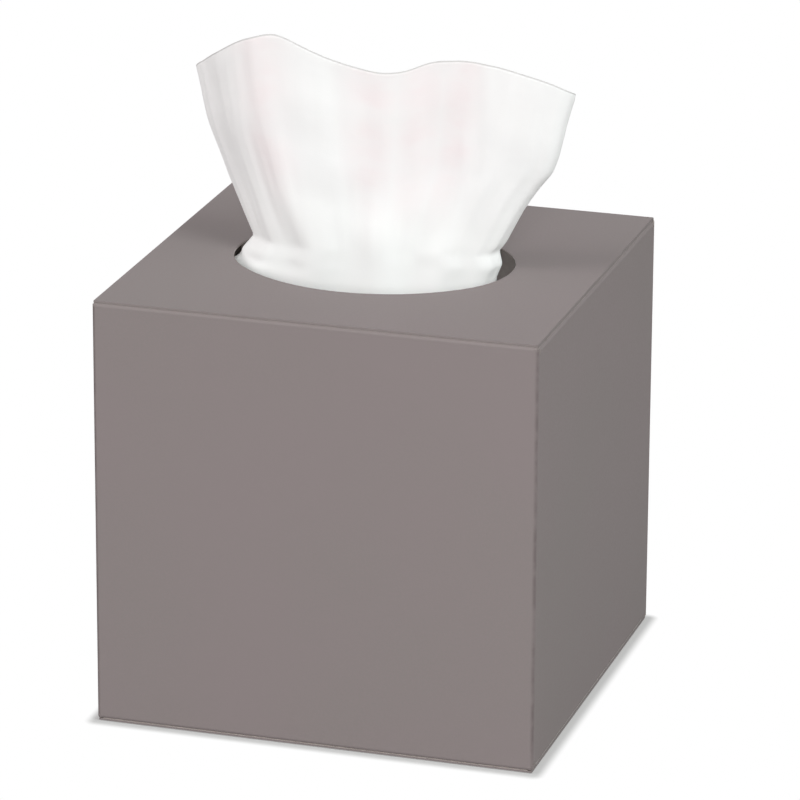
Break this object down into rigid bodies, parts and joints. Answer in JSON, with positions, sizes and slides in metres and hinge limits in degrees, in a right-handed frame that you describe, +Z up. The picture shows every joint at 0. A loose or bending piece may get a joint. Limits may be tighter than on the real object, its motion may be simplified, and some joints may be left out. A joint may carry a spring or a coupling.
{
  "type": "tissue box",
  "caption": "Cube carton of facial tissues with an oval opening in its top and one pull-up sheet standing in it",
  "frame": {"origin": "middle of the carton's underside, where it stands", "axes": "+Z up, +Y from the front wall to the back wall, +X to the right as seen from the front"},
  "size_m": [0.115, 0.112, 0.172],
  "materials": {
    "printed_board": "plain printed paperboard, matt",
    "stacked_tissue": "folded tissue, soft matt",
    "tissue": "two-ply crepe tissue, soft matt"
  },
  "bodies": {
    "root": {"carton": "printed_board", "tissue_stack": "stacked_tissue", "raised_tissue": "tissue"}
  },
  "joints": []
}
